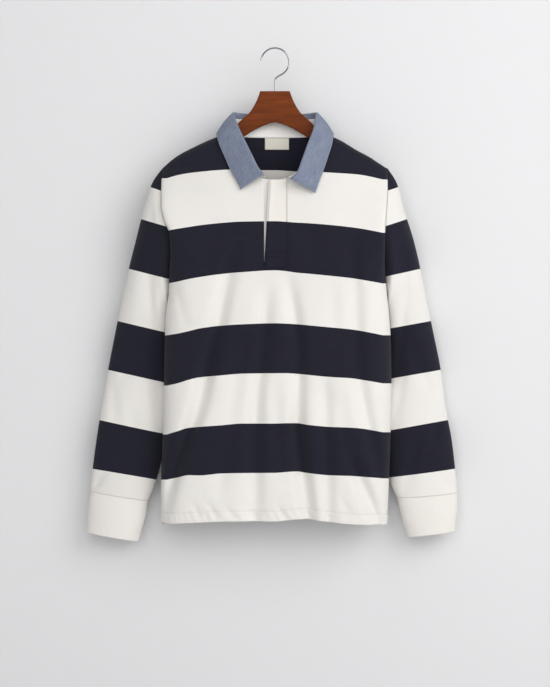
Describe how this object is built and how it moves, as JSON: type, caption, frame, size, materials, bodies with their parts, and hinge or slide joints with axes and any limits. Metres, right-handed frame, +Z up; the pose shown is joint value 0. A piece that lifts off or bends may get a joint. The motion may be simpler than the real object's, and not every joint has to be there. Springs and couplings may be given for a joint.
{
  "type": "rugby shirt on a hanger",
  "caption": "Long-sleeved striped rugby shirt with a turned-down collar, hanging on a wooden hanger with a wire hook.",
  "frame": {"origin": "inner top of the hanger's hook, where a rail or peg carries it", "axes": "+Z up, +X to the right as seen from the front, front of the shirt towards -Y"},
  "size_m": [0.6909, 0.1238, 0.9166],
  "materials": {
    "jersey": "wide navy and off-white stripes in cotton jersey",
    "rib": "fine cream rib knit",
    "chambray": "blue chambray weave",
    "tape": "white cotton twill",
    "label": "bare woven cream label",
    "wood": "satin red-brown stain",
    "wire": "polished wire"
  },
  "bodies": {
    "root": {"front_body": "jersey", "back_body": "jersey", "sleeve_left": "jersey", "sleeve_right": "jersey", "cuff_left": "rib", "cuff_right": "rib", "collar_leaf": "chambray", "neck_band": "tape", "placket_over": "jersey", "placket_under": "tape", "neck_label": "label", "hanger_body": "wood", "hanger_hook": "wire"}
  },
  "joints": []
}
